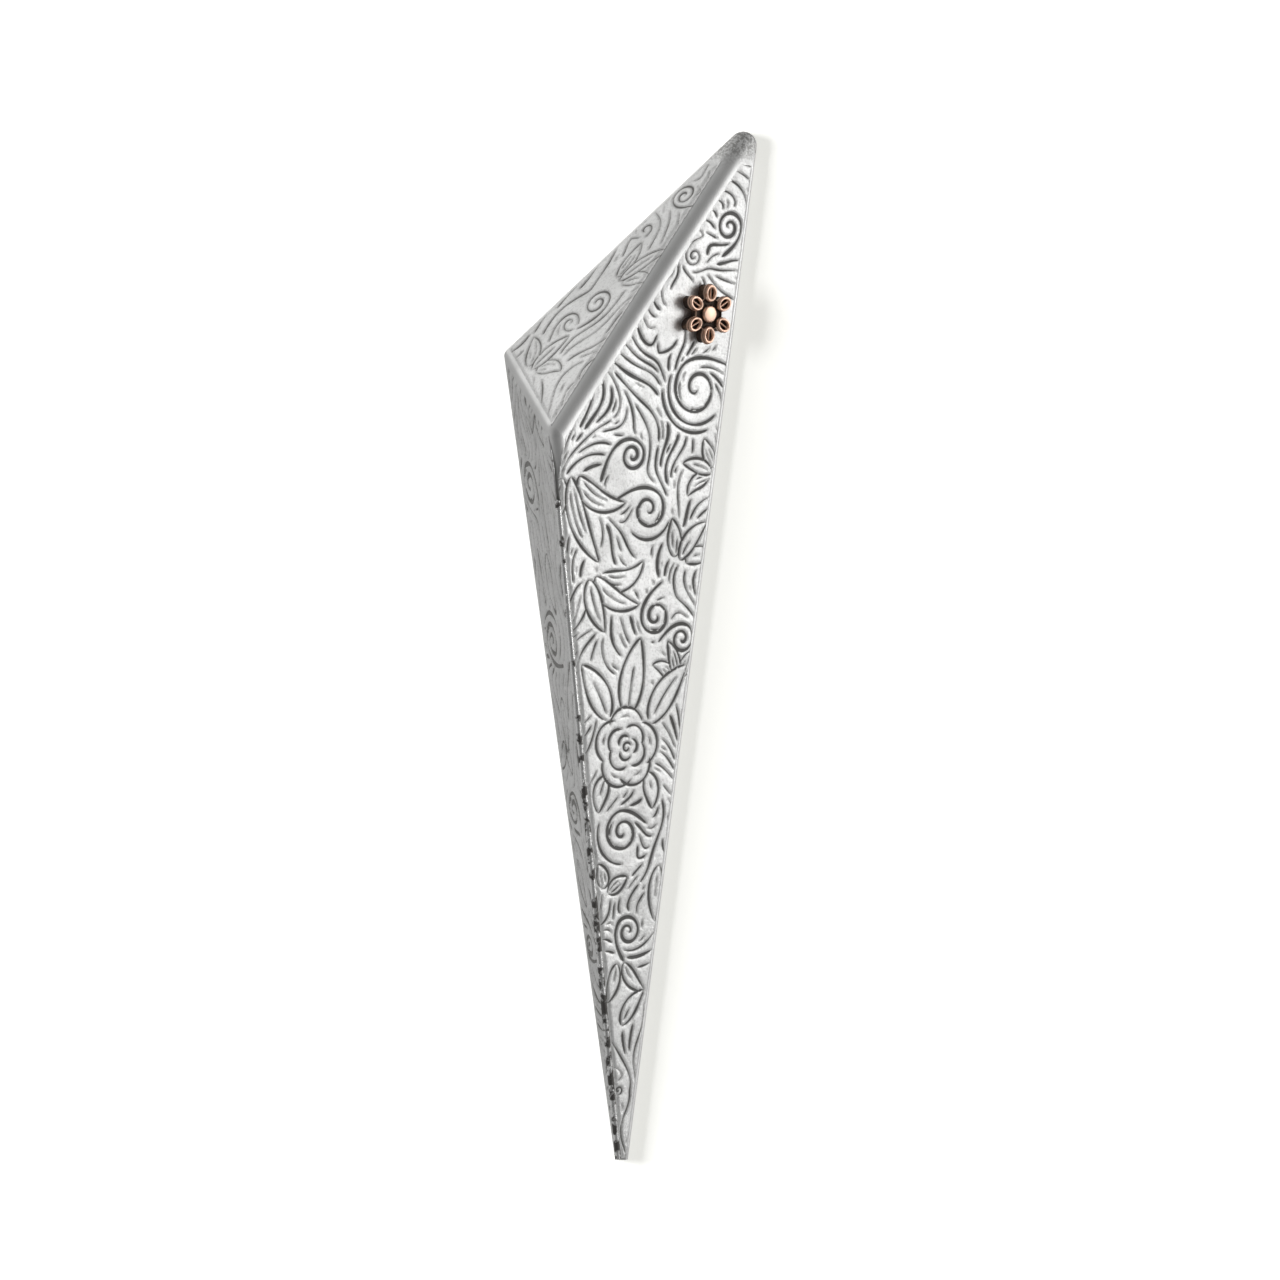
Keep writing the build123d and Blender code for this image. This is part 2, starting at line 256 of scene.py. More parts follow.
aluminium = ((0.82, 0.83, 0.84), (0.62, 0.63, 0.65))
nickel = ((0.78, 0.75, 0.70), (0.66, 0.63, 0.58))
cream = ((0.88, 0.87, 0.84), (0.80, 0.79, 0.75))
paper = ((0.93, 0.91, 0.86), (0.84, 0.81, 0.74))
finishes = {}
for slotName, materialName, paint in (
    ("pewter", "plainPewter", pewter(False)),
    ("embossed", "embossedPewter", pewter(True)),
    ("solder", "solderBead", solder),
    ("copper", "roseCopper", copper),
    ("oxidised_copper", "oxidisedCopper", oxide),
    ("plate_steel", "zincPlate", plateSteel),
    ("spring_steel", "springSteel", springSteel),
    ("screw_brass", "screwBrass", brass),
    ("rivet_aluminium", "rivetAluminium", mottled((0.6,), aluminium, 0.28, 0.2, 0.02)),
    ("magnet_nickel", "magnetNickel", mottled((1.2, 3.0, 0.55), nickel, 0.12, 0.14, 0.01)),
    ("clear_plastic", "clearPlastic", clearPlastic),
    ("cap_plastic", "capPlastic", mottled((1.2,), cream, 0.42, 0.15, 0.02, 0.0)),
    ("parchment", "parchmentSkin", parchment),
    ("paper", "bandPaper", mottled((0.35, 4.0, 0.7), paper, 0.8, 0.1, 0.03, 0.0)),
):
    finishes[slotName] = makeMaterial(materialName, paint)
slotOfNode = {entry["node"]: entry["material_slot"] for entry in frame["record"]["subparts"]}
for nodeName, nodeObject in frame["nodes"].items():
    finish = finishes[slotOfNode[nodeName]]
    if not nodeObject.material_slots:
        nodeObject.data.materials.append(finish)
    for materialSlot in nodeObject.material_slots:
        materialSlot.material = finish
print("materials made")


# the case's facets, each a flat sheet with its own right, up and outward directions

caseShape = {
    "topCorner": (25.7, 72.5),  # across and up, from midway between the screws
    "leftCorner": (-15.7, 33.3),
    "footCorner": (3.25, -104.0),
    "peak": (-7.9, 19.5),
    "peakHeight": 24.0,  # out from the wall
    "rimHeight": 2.0,
    "footCut": -96.3,
    "footClear": 0.3,  # the ornament stops this far above the foot
    "headCut": 64.0,
    "peakClear": 22.3,  # the ornament stops this far out, short of the rounded peak
}


def outFromWall(place, height):
    return Vector((place[0], -height, place[1]))


topCorner, leftCorner, footCorner = (
    outFromWall(caseShape[name], caseShape["rimHeight"])
    for name in ("topCorner", "leftCorner", "footCorner")
)
peak = outFromWall(caseShape["peak"], caseShape["peakHeight"])
caseMiddle = (topCorner + leftCorner + footCorner + peak) / 4


edgeLook = {  # how far the ornament keeps clear of an edge, and over how far it then rises
    "rim": (0.3, 0.5),
    "leftRim": (0.3, 1.6),
    "seam": (0.75, 0.8),
    "topRidge": (1.5, 1.2),
    "besideRidge": (1.9, 2.0),
    "leftRidge": (0.85, 1.0),
}
cutFades = (0.5, 1.5, 1.0)  # over how far it rises from the cuts at the foot, the head and the peak


class Facet:
    def __init__(self, corners, edges):
        self.out = (corners[1] - corners[0]).cross(corners[2] - corners[0]).normalized()
        if self.out.dot(corners[0] - caseMiddle) < 0:
            self.out.negate()
        self.up = (Vector((0, 0, 1)) - self.out * self.out.z).normalized()
        self.right = self.up.cross(self.out)
        self.origin = self.fromFront((0, 0), corners[0])
        flat = [self.flatten(corner) for corner in corners]
        middle = sum(flat, Vector((0, 0))) / 3
        across, along = zip(*flat)
        self.bounds = (min(across), min(along)), (max(across), max(along))
        insets, fades = zip(*(edgeLook[edge] for edge in edges))
        self.sides, self.fades = [], (*fades, *cutFades)  # a point and an inward direction for each edge
        for first, second, inset in zip(flat, flat[1:] + flat[:1], insets):
            inward = Vector((first.y - second.y, second.x - first.x)).normalized()
            if inward.dot(middle - first) < 0:
                inward.negate()
            self.sides.append((first + inward * inset, inward))
        lowest = caseShape["footCut"] + caseShape["footClear"]
        for corner, level, facing in (("footCorner", lowest, 1), ("topCorner", caseShape["headCut"], -1)):
            cut = self.flatten(self.fromFront((caseShape[corner][0], level), corners[0]))
            self.sides.append((cut, Vector((0, facing))))
        towardsWall = Vector((self.right.y, self.up.y))
        peakCut = towardsWall * ((-caseShape["peakClear"] - self.origin.y) / towardsWall.length_squared)
        self.sides.append((peakCut, towardsWall.normalized()))

    def fromFront(self, place, known):  # the point of the facet seen at this place from the front
        x, z = place
        y = known.y - (self.out.x * (x - known.x) + self.out.z * (z - known.z)) / self.out.y
        return Vector((x, y, z))

    def flatten(self, point):
        return Vector(((point - self.origin).dot(self.right), (point - self.origin).dot(self.up)))

    def seen(self, x, z):
        return self.flatten(self.fromFront((x, z), self.origin))

    def lift(self, flat, height=0.0):
        return (self.origin + self.right * flat[0] + self.up * flat[1] + self.out * height) * mm

    def depths(self, flat):  # how far inside each edge
        return [(flat[0] - p.x) * n.x + (flat[1] - p.y) * n.y for p, n in self.sides]

    def depth(self, flat):
        return min(self.depths(flat))

    def full(self, flat):  # 0 at the outline, 1 where the relief has its full height
        return min(1.0, *(depth / fade for depth, fade in zip(self.depths(flat), self.fades)))


facets = {
    "front": Facet((topCorner, peak, footCorner), ("besideRidge", "seam", "rim")),
    "upper": Facet((topCorner, leftCorner, peak), ("rim", "leftRidge", "topRidge")),
    "left": Facet((leftCorner, peak, footCorner), ("leftRidge", "seam", "leftRim")),
}


# ornament: strokes on a flat sheet, as lists of (x, y, half width)

strokeLook = {
    "step": 0.16,
    "spacing": 1.8,
    "margin": 0.3,
    "taper": 0.9,
    "shortest": 1.8,
    "longest": 60.0,
    "strokeLengths": (9.0, 36.0),
    "widths": (0.12, 0.15, 0.18, 0.21),
    "weight": 1.0,
    "inward": 0.22,
    "lean": -82,
    "wander": 85,  # how far the flow turns from its lean
    "wanderSize": 10.0,
    "tries": 900,
    "dashTries": 1500,
}


def around(middle, radius, angle):
    return middle[0] + radius * cos(angle), middle[1] + radius * sin(angle)


def circle(middle, radius):
    return [around(middle, radius, radians(turn)) for turn in range(0, 360, 10)]


class Ornament:
    def __init__(self, facet, look, seed):
        self.facet, self.look = facet, look
        self.step, self.spacing = look["step"], look["spacing"]
        self.chance = random.Random(seed)
        self.between = self.chance.uniform
        self.drift = Vector((seed * 7.3, seed * 3.1, 0.5))
        self.taken = {}
        self.strokes = []
        self.swirls = []
        self.covers = []  # outlines of the leaves and flowers that lie on top

    def cell(self, x, y):
        return floor(x / self.spacing), floor(y / self.spacing)

    def keepOff(self, points):
        for x, y in points:
            self.taken.setdefault(self.cell(x, y), []).append((x, y))

    def crowded(self, x, y, gap):
        column, row = self.cell(x, y)
        near = (self.taken.get((column + i, row + j), ()) for i in (-1, 0, 1) for j in (-1, 0, 1))
        return any((px - x) ** 2 + (py - y) ** 2 < gap * gap for places in near for px, py in places)

    def inside(self, x, y):
        return self.facet.depth((x, y)) > self.look["margin"] and not self.covered(x, y)

    def cover(self, outline):
        across, along = zip(*outline)
        sides = list(zip(outline, outline[1:] + outline[:1]))
        self.covers.append(((min(across), max(across)), (min(along), max(along)), sides))

    def covered(self, x, y):
        for (left, right), (low, high), sides in self.covers:
            if left < x < right and low < y < high:
                crossed = [
                    (ay > y) != (by > y) and x < (bx - ax) * (y - ay) / (by - ay) + ax
                    for (ax, ay), (bx, by) in sides
                ]
                if sum(crossed) % 2:
                    return True
        return False

    def shown(self, points):  # the runs of a line that nothing covers
        runs = [[]]
        for x, y in points:
            if not self.covered(x, y):
                runs[-1].append((x, y))
            elif runs[-1]:
                runs.append([])
        return runs

    def room(self, x, y):  # wider and closer parts of the pattern
        return 1 + 0.28 * noise.noise(Vector((x / 9, y / 9, 2.0)) + self.drift)

    def stroke(self, points, width, keep=True):  # swells and tapers like a graver's cut
        points = [p for p in points if self.facet.depth(p) > -0.3]
        if len(points) < 4:
            return
        if keep:
            self.keepOff(points)
        phase = self.between(0, 6.3)
        step, count = self.step, len(points) - 1
        made = []
        for index, (x, y) in enumerate(points):
            taper = min(1.0, 0.4 + min(index, count - index) * step / self.look["taper"])
            swell = 1 + 0.25 * sin(index * step * 0.8 + phase)
            made.append((x, y, width * self.look["weight"] * taper * swell))
        self.strokes.append(made)

    def arc(self, middle, radius, start, sweep, width, sparing=False):
        count = max(5, int(abs(sweep) * radius / self.step))
        points = [around(middle, radius, start + sweep * index / count) for index in range(count + 1)]
        if sparing:  # stops where another stroke is near
            points = list(takewhile(lambda point: not self.crowded(*point, self.spacing * 0.5), points))
        self.stroke(points, width)

    def spiral(self, middle, radius, start, turns, width, tail=0.0, tailBend=0.0):
        step, sense = self.step, copysign(1, turns)
        points, angle, travelled = [], start, 0.0
        length = 2 * pi * abs(turns)
        while abs(angle - start) < length:
            reach = radius * (1 - abs(angle - start) / length) ** 0.85 + 0.22
            points.append(around(middle, reach, angle))
            angle += sense * step / reach
        heading = start - sense * pi / 2
        x, y = points[0]
        lead = []
        while travelled < tail:  # the tail leaves the spiral's outer end and bends away
            share = travelled / tail
            heading -= sense * (0.85 - (0.85 + tailBend) * share) / radius * step
            x, y = around((x, y), step, heading)
            lead.append((x, y))
            travelled += step
        self.stroke(lead[::-1] + points, width)

    def volute(self, middle, radius, start, turns, tail=0.0, tailBend=0.0, width=0.24):
        sense = copysign(1, turns)
        self.spiral(middle, radius, start, turns, width, tail, tailBend)
        if radius > 2.5:  # echoes outside the scroll, and short cuts within its first turn
            for share, begin, sweep in ((1.27, 0.7, 2.7), (1.55, 1.1, 1.9)):
                self.arc(middle, radius * share, start + sense * begin, sense * sweep, width * 0.85, True)
            for share, begin, sweep in ((0.80, 0.8, 0.8), (0.74, 2.3, 0.9), (0.66, 3.9, 0.7)):
                self.arc(middle, radius * share, start + sense * begin, sense * sweep, width * 0.5)
        self.swirls.append((middle[0], middle[1], radius * 1.1, sense))

    def leaf(self, foot, angle, length, breadth, bend, ribs=1, width=0.18):
        halves = []  # a leaf lies behind those drawn before it
        count = int(length / self.step)
        for side in (-1, 1):
            points = []
            for index in range(count + 1):
                t = index / count
                spine = angle + bend * t
                x, y = around(foot, length * t, spine)
                bulge, lean = side * breadth / 2 * sin(pi * t ** 0.8) ** 0.75, spine + bend * t
                points.append((x - bulge * sin(lean), y + bulge * cos(lean)))
            halves.append(points)
        for points in halves:
            for run in self.shown(points):
                self.stroke(run, width)
        for index in range(ribs):
            share = (index + 1) / (ribs + 1)
            first, last = sorted((self.between(0.08, 0.3), self.between(0.45, 0.8)))
            rib = [(a[0] + (b[0] - a[0]) * share, a[1] + (b[1] - a[1]) * share) for a, b in zip(*halves)]
            for run in self.shown(rib[int(count * first): int(count * last)]):
                self.stroke(run, width * 0.55)
        self.cover(halves[0][::3] + halves[1][::-3])

    def spray(self, foot, angle, spread, count, length, breadth, bend):  # overlapping leaves from one foot
        order = sorted(range(count), key=lambda index: abs(index - (count - 1) / 2))
        for index in order:
            share = (index / max(1, count - 1) - 0.5) * 2
            x = foot[0] - share * count * breadth * 0.16 * sin(angle)
            y = foot[1] + share * count * breadth * 0.16 * cos(angle)
            reach = length * (1 - 0.25 * abs(share)) * self.between(0.9, 1.08)
            turn = bend + share * spread * 0.7
            ribs = self.chance.choice((1, 2))
            self.leaf((x, y), angle + share * spread / 2, reach, breadth, turn, ribs)

    def rose(self, middle, radius, width=0.19):
        for share, petals, turn, wide in ((1.0, 5, 0.3, 0.62), (0.58, 4, 0.95, 0.66), (0.3, 3, 0.2, 0.7)):
            for petal in range(petals):
                angle = 2 * pi * petal / petals + turn + self.between(-0.18, 0.18)
                reach = radius * share * self.between(0.50, 0.58)
                hub = around(middle, reach, angle)
                self.arc(hub, radius * share * wide, angle - 1.3, 2.6, width)
                if share == 1.0:
                    self.arc(hub, radius * 0.36, angle - 0.3, 0.7, width * 0.5)
        self.spiral(middle, radius * 0.12, 0.4, 1.1, width * 0.8)
        self.cover(circle(middle, radius * 1.1))

    def flow(self, x, y):  # direction of the strokes at a place
        look = self.look
        turn = noise.noise(Vector((x / look["wanderSize"], y / look["wanderSize"], 0)) + self.drift)
        angle = radians(look["lean"] + look["wander"] * turn * 1.6)
        dx, dy = cos(angle), sin(angle)
        for cx, cy, radius, sense in self.swirls:
            rx, ry = x - cx, y - cy
            reach = hypot(rx, ry) + 1e-6
            if reach > radius * 3:
                continue
            weight = 5.0 * exp(-(reach / radius / 1.15) ** 2)
            dx += weight * (-ry / reach * sense - rx / reach * look["inward"])
            dy += weight * (rx / reach * sense - ry / reach * look["inward"])
        size = hypot(dx, dy) + 1e-9
        return dx / size, dy / size

    def grow(self, x, y, sense, gap):
        step, points = self.step, []
        own = int(2.5 * gap / step)
        for _ in range(int(self.look["longest"] / step)):
            dx, dy = self.flow(x, y)
            dx, dy = self.flow(x + dx * step * sense / 2, y + dy * step * sense / 2)
            x, y = x + dx * step * sense, y + dy * step * sense
            if not self.inside(x, y) or self.crowded(x, y, gap * self.room(x, y)):
                break
            if any((x - px) ** 2 + (y - py) ** 2 < gap * gap for px, py in points[:-own:3]):
                break
            points.append((x, y))
        return points

    def fill(self, swirls):  # evenly spaced strokes that follow the flow round the swirls
        self.swirls += [(*self.facet.seen(x, z), radius, sense) for x, z, radius, sense in swirls]
        look, spacing, gap = self.look, self.spacing, self.spacing * 0.5
        low, high = self.facet.bounds
        seeds = [(cx + radius * 0.5, cy) for cx, cy, radius, sense in self.swirls]
        seeds += [(self.between(low[0], high[0]), self.between(low[1], high[1]))
                  for _ in range(look["tries"])]
        while seeds:
            x, y = seeds.pop(0)
            if not self.inside(x, y) or self.crowded(x, y, spacing * 0.86 * self.room(x, y)):
                continue
            points = self.grow(x, y, -1, gap)[::-1] + [(x, y)] + self.grow(x, y, 1, gap)
            if len(points) * self.step < look["shortest"]:
                continue
            self.keepOff(points)
            self.cut(points)
            beside = []
            for px, py in points[::6]:
                dx, dy = self.flow(px, py)
                wide = spacing * self.room(px, py)
                beside += [(px - dy * wide, py + dx * wide), (px + dy * wide, py - dx * wide)]
            seeds = beside + seeds
        self.dashes()

    def cut(self, points):  # a long line is cut into strokes of uneven length
        start = 0
        width = self.chance.choice(self.look["widths"])
        while start < len(points):
            stop = start + int(self.between(*self.look["strokeLengths"]) / self.step)
            if len(points) - stop < 14:
                stop = len(points)
            self.stroke(points[start:stop], width * self.between(0.8, 1.15), False)
            start = stop + self.chance.choice((0, 3, 5))

    def dashes(self):  # short cuts between the long strokes
        low, high = self.facet.bounds
        step = self.step
        for _ in range(self.look["dashTries"]):
            x, y = self.between(low[0], high[0]), self.between(low[1], high[1])
            if not self.inside(x, y) or self.crowded(x, y, self.spacing * 0.42):
                continue
            points = [(x, y)]
            for _ in range(int(self.between(1.2, 3.4) / step)):
                dx, dy = self.flow(x, y)
                x, y = x + dx * step, y + dy * step
                if self.crowded(x, y, self.spacing * 0.38):
                    break
                points.append((x, y))
            self.stroke(points, self.between(0.08, 0.13))

    def linesObject(self, name):
        places, edges, widths = [], [], []
        for stroke in self.strokes:
            first = len(places)
            places += [self.facet.lift((x, y)) for x, y, width in stroke]
            fades = [min(1.0, 0.5 + self.facet.depth((x, y)) / 4) for x, y, width in stroke]
            widths += [width * fade for (x, y, width), fade in zip(stroke, fades)]
            edges += [(first + i, first + i + 1) for i in range(len(stroke) - 1)]
        mesh = bpy.data.meshes.new(name)
        mesh.from_pydata(places, edges, [])
        mesh.attributes.new("halfWidth", "FLOAT", "POINT").data.foreach_set("value", widths)
        return addObject(name, mesh)


# where each facet's larger motifs lie, across and up as seen from the front, and its own stroke settings
ornamentPlans = {
    "front": {
        "seed": 11,
        "look": {},
        "volutes": (  # place, radius, start, turns, tail and its bend
            (15.2, 27.5, 4.6, 120, 1.5, 9.0, 0.3), (4.9, 16.6, 2.2, 20, -1.5, 13.0, 0.35),
            (7.4, 8.0, 3.1, 40, -1.4, 10.0, 0.5), (20.4, 53.4, 2.3, 20, 1.5, 7.0, 0.4),
            (3.3, -43.6, 3.3, 100, 1.6, 6.0, 0.6), (12.8, -12.6, 2.2, 60, -1.5, 7.0, 0.5),
            (8.6, -9.0, 2.7, 200, 1.5, 8.0, 0.4), (4.2, -59.5, 2.3, 140, -1.5, 7.0, 0.4),
        ),
        "roses": ((4.0, -30.0, 5.6),),  # place and radius
        "leaves": (  # place, angle, length, breadth and bend
            (4.2, -25.0, 90, 12.6, 4.8, -8), (1.0, -25.6, 112, 10.6, 4.4, 12),
            (7.8, -26.2, 68, 11.6, 4.4, -14), (0.8, -34.6, 238, 6.0, 3.0, 20),
            (7.2, -34.0, 300, 6.0, 3.0, -16), (3.2, -74.6, 70, 7.0, 2.6, -16),
            (9.2, -49.0, 258, 9.0, 2.8, 10),
        ),
        "sprays": (  # place, angle, spread, count, and the leaves' length, breadth and bend
            (-4.8, 13.0, -84, 34, 3, 14.0, 3.6, 20), (12.6, 0.0, 70, 40, 3, 8.5, 2.8, -20),
            (-1.4, -3.0, -70, 50, 4, 11.0, 3.4, 24), (12.0, -19.0, 96, 34, 3, 6.0, 2.2, 14),
            (3.0, -64.6, -84, 24, 2, 8.0, 2.4, 10), (17.6, 14.0, 150, 40, 3, 6.5, 2.4, 16),
            (0.6, -53.0, 60, 30, 2, 6.0, 2.4, 12),
        ),
        "plain": ((13.2, 41.4, 3.4), (16.8, 39.0, 4.6), (10.8, 37.6, 3.0)),  # patches without strokes
        "swirls": (  # places that the flow turns about, their radius and sense
            (14.6, 48.6, 2.6, 1), (2.6, -85.0, 1.5, 1), (10.6, 36.0, 2.4, -1),
        ),
    },
    "upper": {
        "seed": 23,
        "look": {"lean": 60, "spacing": 2.2, "weight": 0.6, "dashTries": 500},
        "volutes": ((13.4, 58.4, 2.0, 200, -1.5, 8.0, 0.4), (-0.6, 41.0, 2.3, 30, 1.5, 8.0, 0.5)),
        "leaves": ((-3.4, 28.6, 62, 9.0, 3.4, -16),),
        "sprays": ((-11.0, 30.4, 66, 46, 3, 8.0, 2.8, -10), (3.0, 44.6, 54, 30, 3, 9.0, 2.6, -12)),
        "swirls": ((7.4, 53.0, 2.0, 1), (-5.0, 38.0, 2.4, -1)),
    },
    "left": {
        "seed": 37,
        "look": {"lean": -80, "wander": 65, "weight": 1.6, "spacing": 2.2, "dashTries": 1200},
        "volutes": (
            (-11.2, 12.0, 3.4, 60, 1.7, 9.0, 0.4), (-7.6, -13.0, 3.0, 200, -1.7, 9.0, 0.4),
            (-4.2, -40.0, 2.6, 60, 1.7, 7.0, 0.4), (-1.6, -62.0, 1.8, 200, -1.5, 6.0, 0.4),
        ),
        "leaves": (
            (-8.6, 1.0, -95, 10.0, 3.2, 14), (-6.2, -22.0, -80, 9.0, 3.0, -12),
            (-3.6, -48.0, -88, 8.0, 2.6, 12),
        ),
        "sprays": ((-10.8, 27.0, -88, 30, 3, 10.0, 2.8, 16), (-5.6, -29.0, -92, 24, 2, 8.0, 2.4, -14)),
    },
}


def drawOrnament(facet, plan):
    drawing, seen = Ornament(facet, {**strokeLook, **plan["look"]}, plan["seed"]), facet.seen
    for x, z, radius, start, turns, tail, bend in plan["volutes"]:
        drawing.volute(seen(x, z), radius, radians(start), turns, tail, radians(bend))
    for x, z, radius in plan.get("roses", ()):
        drawing.rose(seen(x, z), radius)
    for x, z, angle, length, breadth, bend in plan["leaves"]:
        drawing.leaf(seen(x, z), radians(angle), length, breadth, radians(bend))
    for x, z, angle, spread, count, length, breadth, bend in plan["sprays"]:
        spread, bend = radians(spread), radians(bend)
        drawing.spray(seen(x, z), radians(angle), spread, count, length, breadth, bend)
    for x, z, radius in plan.get("plain", ()):
        drawing.cover(circle(seen(x, z), radius))
    drawing.fill(plan.get("swirls", ()))
    return drawing


print("facets and ornament ready")


# geometry nodes: each tree has named inputs, and its result becomes a plain mesh

def nodeTree(name, floats, **others):
    tree = bpy.data.node_groups.new(name, "GeometryNodeTree")
    tree.interface.new_socket("Geometry", in_out="OUTPUT", socket_type="NodeSocketGeometry")
    inputs = {"Geometry": "Geometry", **others, **dict.fromkeys(floats, "Float"), "Material": "Material"}
    for label, kind in inputs.items():
        tree.interface.new_socket(label, in_out="INPUT", socket_type="NodeSocket" + kind)
    graph = Graph(tree)
    return graph, graph.add("NodeGroupInput")


def endTree(graph, given, geometry):
    geometry = graph.add("RealizeInstances", {"Geometry": geometry})[0]
    inputs = {"Geometry": geometry, "Material": given["Material"]}
    graph.add("NodeGroupOutput", {"Geometry": graph.add("SetMaterial", inputs)[0]})
    return graph.tree


def grown(name, mesh, tree, settings):
    piece = addObject(name, mesh)
    modifier = piece.modifiers.new("nodes", "NODES")
    modifier.node_group = tree
    for item in tree.interface.items_tree:
        if item.in_out == "INPUT" and item.name in settings:
            modifier[item.identifier] = settings[item.name]
    bpy.context.view_layer.update()
    layers = bpy.context.evaluated_depsgraph_get()
    made = bpy.data.meshes.new_from_object(
        piece.evaluated_get(layers), preserve_all_data_layers=True, depsgraph=layers
    )
    piece.modifiers.remove(modifier)
    piece.data = made
    return piece


def finishPiece(piece, body):
    for polygon in piece.data.polygons:
        polygon.use_smooth = True
    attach(piece, body)


# embossed sheets: pushed out between the strokes, low and dark under them

reliefLook = {
    "Land Height": 0.19,
    "Floor Height": 0.04,
    "Shoulder": 0.16,  # how far from a stroke the land takes to round over
    "Crown": 1.3,
    "Unevenness": 0.04,
    "leftDeeper": 1.9,  # the narrow side is struck deeper
    "underside": -0.3,
    "cell": 0.185,
}


def makeReliefTree():
    floats = ("Land Height", "Floor Height", "Shoulder", "Crown", "Unevenness")
    graph, given = nodeTree("relief", floats, Strokes="Object", Outward="Vector")
    lines = graph.add("ObjectInfo", {"Object": given["Strokes"]})["Geometry"]
    place = graph.add("InputPosition")[0]
    near = graph.add("Proximity", {0: lines}, target_element="EDGES")
    nearest = graph.add("SampleNearest", {0: lines, "Sample Position": near["Position"]})[0]
    halfWidth = graph.add("InputNamedAttribute", {"Name": "halfWidth"})[0]
    width = graph.add("SampleIndex", {0: lines, "Value": halfWidth, "Index": nearest})[0]
    groove = near["Distance"] / mm - width
    clear = groove.atLeast(0.0)
    rounded = 1 - (clear / given["Shoulder"] * -1).math("EXPONENT")
    crowned = 1 - (clear / given["Crown"] * -1).math("EXPONENT")
    wall = groove.step(-0.06, 0.12)
    border = graph.add("InputNamedAttribute", {"Name": "share"})[0].step(0.0, 1.0)
    uneven = graph.noise(1.6, 3.0, 0.55, place) - 0.5
    share = wall * 0.5 + rounded * 0.35 + crowned * 0.15
    height = given["Floor Height"] + (given["Land Height"] - given["Floor Height"]) * share
    height = border * (height + uneven * given["Unevenness"] * 2 + 0.03) - 0.03
    inputs = {"Vector": given["Outward"], "Scale": height * mm}
    offset = graph.add("ShaderNodeVectorMath", inputs, operation="SCALE")[0]
    sheet = graph.add("SetPosition", {"Geometry": given["Geometry"], "Offset": offset})[0]
    inputs = {"Geometry": sheet, "Name": "groove", "Value": groove}
    return endTree(graph, given, graph.add("StoreNamedAttribute", inputs)[0])


def flatSheet(name, facet, cell):  # a fine square mesh, cut to the facet's outline
    sheet = bmesh.new()
    low, high = facet.bounds
    corners = {}

    def corner(i, j):
        if (i, j) not in corners:
            corners[i, j] = sheet.verts.new((low[0] + i * cell, low[1] + j * cell, 0))
        return corners[i, j]

    for j in range(int((high[1] - low[1]) / cell) + 1):
        y = low[1] + (j + 0.5) * cell
        for i in range(int((high[0] - low[0]) / cell) + 1):
            if facet.depth((low[0] + (i + 0.5) * cell, y)) > -cell:
                sheet.faces.new((corner(i, j), corner(i + 1, j), corner(i + 1, j + 1), corner(i, j + 1)))
    for point, inward in facet.sides:
        parts = sheet.verts[:] + sheet.edges[:] + sheet.faces[:]
        bmesh.ops.bisect_plane(sheet, geom=parts, dist=0.001, plane_co=(*point, 0),
                               plane_no=(*inward, 0), clear_inner=True)
    bmesh.ops.remove_doubles(sheet, verts=sheet.verts, dist=0.002)
    shares = [facet.full(vertex.co) for vertex in sheet.verts]
    for vertex in sheet.verts:
        vertex.co = facet.lift(vertex.co)
    mesh = bpy.data.meshes.new(name)
    sheet.to_mesh(mesh)
    sheet.free()
    mesh.attributes.new("share", "FLOAT", "POINT").data.foreach_set("value", shares)
    return mesh


def closeUnderside(mesh, facet, depth):  # side walls and a flat back, inside the shell's own wall
    sheet = bmesh.new()
    sheet.from_mesh(mesh)
    rim = [edge for edge in sheet.edges if edge.is_boundary]
    made = bmesh.ops.extrude_edge_only(sheet, edges=rim)["geom"]
    lower = [part for part in made if isinstance(part, bmesh.types.BMVert)]
    for vertex in lower:
        vertex.co = facet.lift(facet.flatten(vertex.co / mm), depth)
    centre = sheet.verts.new(sum((vertex.co for vertex in lower), Vector()) / len(lower))
    lowerEdges = [part for part in made if isinstance(part, bmesh.types.BMEdge) and part.is_boundary]
    for edge in lowerEdges:
        sheet.faces.new((edge.verts[0], edge.verts[1], centre))
    bmesh.ops.recalc_face_normals(sheet, faces=sheet.faces)
    sheet.to_mesh(mesh)
    sheet.free()


reliefTree = makeReliefTree()
for name, facet in facets.items():
    strokes = drawOrnament(facet, ornamentPlans[name]).linesObject(name + "Strokes")
    settings = {**reliefLook, "Strokes": strokes, "Outward": tuple(facet.out)}
    settings["Material"] = finishes["embossed"]
    if name == "left":
        settings["Land Height"] *= reliefLook["leftDeeper"]
    sheet = flatSheet(name, facet, reliefLook["cell"])
    panel = grown("embossed_" + name, sheet, reliefTree, settings)
    closeUnderside(panel.data, facet, reliefLook["underside"])
    bpy.data.objects.remove(strokes)
    finishPiece(panel, "shell")
    print("embossed", name, len(panel.data.polygons), "faces")


# turned and moulded pieces: rings of points, closed to a point at both ends

def ringStack(name, rings, material, values=None):
    faces, start = [], 0
    for first, second in zip(rings, rings[1:]):
        following, count = start + len(first), max(len(first), len(second))
        for i in range(count):
            j = (i + 1) % count
            if len(first) == 1:
                faces.append((start, following + j, following + i))
            elif len(second) == 1:
                faces.append((start + i, start + j, following))
            else:
                faces.append((start + i, start + j, following + j, following + i))
        start = following
    mesh = bpy.data.meshes.new(name)
    mesh.from_pydata([place for ring in rings for place in ring], [], faces)
    if values:
        mesh.attributes.new("rise", "FLOAT", "POINT").data.foreach_set("value", values)
    shape = bmesh.new()
    shape.from_mesh(mesh)
    bmesh.ops.recalc_face_normals(shape, faces=shape.faces)
    shape.to_mesh(mesh)
    shape.free()
    mesh.materials.append(material)
    return mesh


